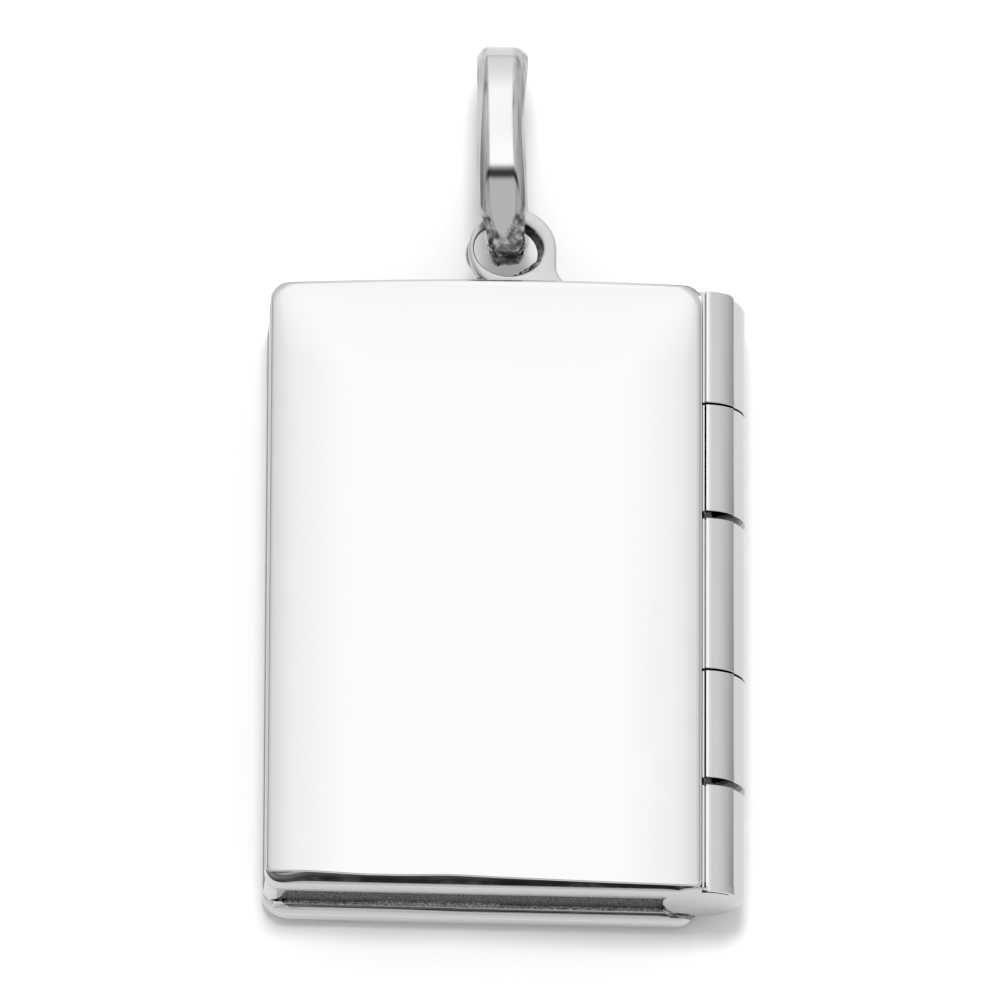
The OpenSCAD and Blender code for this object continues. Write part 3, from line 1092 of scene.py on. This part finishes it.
def tray_share(where):
    """1 on the hidden faces of the tray, which have a plain satin finish."""
    margin = 0.1
    x_low = X_FORE + TRAY_WALL
    x, y, z = where.axes()
    x = x - (x_low + X_TRAY_END) / 2 * MM
    across = x.maths("ABSOLUTE").maths("LESS_THAN", ((X_TRAY_END - x_low) / 2 + margin) * MM)
    along = y.maths("ABSOLUTE").maths("LESS_THAN", (Y_HEAD - TRAY_WALL + margin) * MM)
    below = z.maths("LESS_THAN", (CLOSED_H - TRAY_FLOOR + margin) * MM)
    return across * along * below


def polished_silver():
    material, shader, where = new_material("polished_silver")
    waves = polishing_waves(where)
    shader.inputs["Base Color"].default_value = SILVER
    shader.inputs["Metallic"].default_value = 1
    feed(shader, "Roughness", polished_roughness(waves) + tray_share(where) * 0.35)
    raised(shader, waves, 0.004)
    return material


def plain_colour(where):
    return SILVER


def part_rough_shaded_silver(name, mask, rough_and_shade_colour, roughness, bumps, grain, dull=0.0, polished=plain_colour):
    """Polished silver that turns unpolished where mask, a function of the place, is 1; there its colour is
    dark, partly as painted shade.
    """
    material, shader, where = new_material(name)
    amount = mask(where)
    smoothness = polished_roughness(polishing_waves(where))
    pits = where.pattern(grain / MM, 3.0)
    dark = pits.ramp([(0.36, 0.35), (0.5, 0.95), (0.64, 2.2)])
    colour = where.node("ShaderNodeMix", {"data_type": "RGBA", "blend_type": "MULTIPLY"}, out=2, in0=1.0,
                        in6=rough_and_shade_colour, in7=dark)
    feed(shader, "Base Color", amount.blend(polished(where), colour))
    shader.inputs["Metallic"].default_value = 1
    feed(shader, "Roughness", (smoothness + dull) * (1 - amount) + amount * roughness)
    raised(shader, pits * amount, bumps)
    return material


def bail_silver():
    # The unpolished bend is painted dark, partly as shade inside the loop.
    def mask(where):
        return where.node("ShaderNodeAttribute", {"attribute_name": "rough"}, out=2)

    # The flanks get a darker streaked colour: painted shade in their reflections, with streaks.
    def streaked_flanks_painted_shade(where):
        flank = where.node("ShaderNodeAttribute", {"attribute_name": "flank"}, out=2)
        drawn = where.node("ShaderNodeMapping", Vector=where, Scale=(7, 0.25, 2))
        streaks = drawn.pattern(1.0 / MM, 2.0)
        tone = streaks.ramp([(0.3, 0.2), (0.42, 0.4), (0.6, 0.5)])
        return flank.blend(SILVER, tone)

    return part_rough_shaded_silver("bail_silver", mask, (0.22, 0.22, 0.22, 1), 0.3, 0.035, 3.2,
                             polished=streaked_flanks_painted_shade)


def loop_silver():
    """Dull on its faces; the wall of its hole is painted dark as shade."""
    def mask(where):
        x, y, z = where.axes()
        deep = z - (LOOP_Z + LOOP_T / 2) * MM
        x = x - (LOOP_X + HOLE_X) * MM - deep * LOOP_SHEAR
        y = y - LOOP_Y * MM
        reach = (x * x / (HOLE_W * MM) ** 2 + y * y / (HOLE_L * MM) ** 2).maths("SQRT")
        return 1 - reach.span(1.02, 1.07)

    return part_rough_shaded_silver("loop_silver", mask, (0.14, 0.14, 0.14, 1), 0.35, 0.03, 4.0, dull=0.3)


def solder_finish():
    material, shader, where = new_material("solder")
    pits = where.pattern(3.0 / MM, 2.0)
    feed(shader, "Base Color", pits.ramp([(0.35, 0.14), (0.5, 0.34), (0.62, 0.6)]))
    shader.inputs["Metallic"].default_value = 1
    feed(shader, "Roughness", pits * 0.3 + 0.12)
    raised(shader, pits, 0.02)
    return material


def dark_groove():
    """Dark metal with faint lengthwise streaks: in the groove it is partly oxide and partly painted shade;
    in the seam, the notch and the crack below the leaf it is painted shade.
    """
    material, shader, where = new_material("dark_groove")
    drawn = where.node("ShaderNodeMapping", Vector=where, Scale=(0.25, 0.25, 3))
    streaks = drawn.pattern(4.0 / MM, 2.0)
    feed(shader, "Base Color", streaks.ramp([(0.35, 0.028), (0.55, 0.05), (0.68, 0.13)]))
    shader.inputs["Metallic"].default_value = 0.6
    shader.inputs["Roughness"].default_value = 0.42
    raised(shader, streaks, 0.01)
    return material


def grainy_edges():
    """Blackened granular metal with a few bright specks; its dark tone is partly painted shade of the
    recess that the page edges lie in.
    """
    material, shader, where = new_material("grainy_edges")
    fine = where.pattern(14.0 / MM, 2.0)
    specks = where.node("ShaderNodeTexVoronoi", Vector=where, Scale=7.0 / MM)
    bright = 1 - specks.span(0.04, 0.12)
    rare = where.pattern(1.6 / MM, 0.0).span(0.6, 0.66)
    tone = fine.ramp([(0.3, 0.03), (0.5, 0.075), (0.7, 0.2)])
    feed(shader, "Base Color", (bright * rare).blend(tone, (0.5, 0.5, 0.5, 1)))
    shader.inputs["Metallic"].default_value = 0.5
    shader.inputs["Roughness"].default_value = 0.55
    raised(shader, fine, 0.03)
    return material


def rough_silver():
    """Pale cast metal on the ledge below the page edges."""
    material, shader, where = new_material("rough_silver")
    grain = where.pattern(12.0 / MM, 2.0)
    feed(shader, "Base Color", grain.ramp([(0.35, 0.16), (0.5, 0.34), (0.65, 0.6)]))
    shader.inputs["Metallic"].default_value = 0.8
    shader.inputs["Roughness"].default_value = 0.5
    raised(shader, grain, 0.02)
    return material


# Stage
LENS_AT = Vector((-0.047, -0.3665, 0.929)).normalized()


def world_light():
    """A studio tent: a white panel over the head side, grey walls and a dark slot on the lens side."""
    world = bpy.data.worlds.new("tent")
    bpy.context.scene.world = world
    world.use_nodes = True
    tree = world.node_tree
    tree.nodes.clear()
    output = tree.nodes.new("ShaderNodeOutputWorld")
    background = tree.nodes.new("ShaderNodeBackground")
    tree.links.new(background.outputs[0], output.inputs["Surface"])
    where = tree.nodes.new("ShaderNodeTexCoord")
    direction = Value(tree, where.outputs["Generated"])
    x, y, z = direction.axes()
    # along goes from 0 at the foot's horizon to 1 at the head's; aside is 0 in a plane that leans
    # 2.7 degrees to the spine and 1 a quarter turn away from it
    along = y.maths("ARCTAN2", z) / math.pi + 0.5
    aside = (x.maths("ARCSINE") - rad(2.7)).maths("ABSOLUTE") / math.pi * 2

    def turn(degrees):
        return degrees / 180 + 0.5

    base = along.ramp([
        (0, 0.87), (turn(-60), 0.85), (turn(-35), 0.68), (turn(4), 0.68), (turn(12), 0.52),
        (1, 0.52)]) * 1.5
    panel = along.ramp([
        (0, 0), (turn(12.5), 0), (turn(15), 1), (turn(24), 1), (turn(34), 0.92), (turn(60), 0.95),
        (turn(67), 0.78), (turn(74), 0.62), (turn(85), 0.47), (turn(100), 0.3), (1, 0)])
    sides = aside.ramp([
        (0, 1), (3.7 / 90, 1), (4.9 / 90, 0.94), (6 / 90, 0.85), (6.5 / 90, 0.81), (7.1 / 90, 0.71),
        (8.2 / 90, 0.63), (9.9 / 90, 0.56), (12.8 / 90, 0.47), (17 / 90, 0.42), (28 / 90, 0.41),
        (40 / 90, 0.32), (52 / 90, 0.17), (64 / 90, 0.08), (72 / 90, 0), (1, 0)])
    walls = aside.ramp([(0, 1), (52 / 90, 1), (68 / 90, 0.74), (1, 0.8)])
    slot = along.ramp([(0, 0), (turn(5.5), 0), (turn(8), 1), (turn(10.5), 1), (turn(13), 0), (1, 0)])
    slot_ends = aside.ramp([(0, 1), (30 / 90, 1), (50 / 90, 0), (1, 0)])
    level = (panel * sides * 1.42 + base) * walls * (1 - slot * slot_ends * 0.9)
    lens = direction.node("ShaderNodeVectorMath", {"operation": "DISTANCE"}, out=1, in0=direction,
                          in1=LENS_AT)
    level = level * lens.ramp([(0, 0.3), (0.03, 0.35), (0.09, 1), (1, 1)])
    tree.links.new(level.socket, background.inputs["Strength"])


def floor():
    mesh = bpy.data.meshes.new("floor")
    size = 1.5
    below = 0.00001
    corners = [(-size, -size, 0), (size, -size, 0), (size, size, 0), (-size, size, 0)]
    mesh.from_pydata(corners, [], [(0, 1, 2, 3)])
    plane = bpy.data.objects.new("floor", mesh)
    bpy.context.scene.collection.objects.link(plane)
    plane.location.z = -below
    material, shader, _ = new_material("white_surface")
    shader.inputs["Base Color"].default_value = (0.8, 0.8, 0.8, 1)
    shader.inputs["Roughness"].default_value = 0.9
    shader.inputs["Specular IOR Level"].default_value = 0.0
    mesh.materials.append(material)


def fill_light():
    """Lifts the white surface; it doesn't show in the silver."""
    light = bpy.data.lights.new("overhead", "AREA")
    light.shape = "DISK"
    light.size = 0.13
    light.energy = 1.5
    lamp = bpy.data.objects.new("overhead", light)
    lamp.location = (-0.02, 0.07, 0.5)
    lamp.rotation_euler = (-lamp.location).to_track_quat("-Z", "Y").to_euler()
    lamp.visible_glossy = False
    bpy.context.scene.collection.objects.link(lamp)


def camera():
    aim = Vector((0.51, 3.17, 4.4)) * MM
    distance = 0.8
    field = 2.65
    roll = 0.0045
    data = bpy.data.cameras.new("camera")
    data.sensor_width = 36
    data.lens = data.sensor_width / (2 * math.tan(rad(field / 2)))
    data.clip_start = 0.01
    view = bpy.data.objects.new("camera", data)
    right = Vector((0, 1, 0)).cross(LENS_AT).normalized()
    up = LENS_AT.cross(right)
    turned_right = right * math.cos(roll) + up * math.sin(roll)
    turned_up = up * math.cos(roll) - right * math.sin(roll)
    axes = Matrix((turned_right, turned_up, LENS_AT)).transposed()
    view.matrix_world = Matrix.Translation(aim + LENS_AT * distance) @ axes.to_4x4()
    bpy.context.scene.collection.objects.link(view)
    bpy.context.scene.camera = view


camera()
world_light()
floor()
fill_light()
bpy.context.scene.view_settings.view_transform = "Standard"

silver = polished_silver()
solder_metal = solder_finish()
back_board(silver)
front_board(silver)
back_body(silver, dark_groove())
front_knuckles(silver)
leaf_end(silver)
page_edges(grainy_edges(), rough_silver())
loop(loop_silver())
loop_solder(solder_metal)
bail(bail_silver())
bend_solder(solder_metal)
end_crescent(solder_metal)
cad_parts["hinge_pin"].data.materials.clear()
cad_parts["hinge_pin"].data.materials.append(silver)
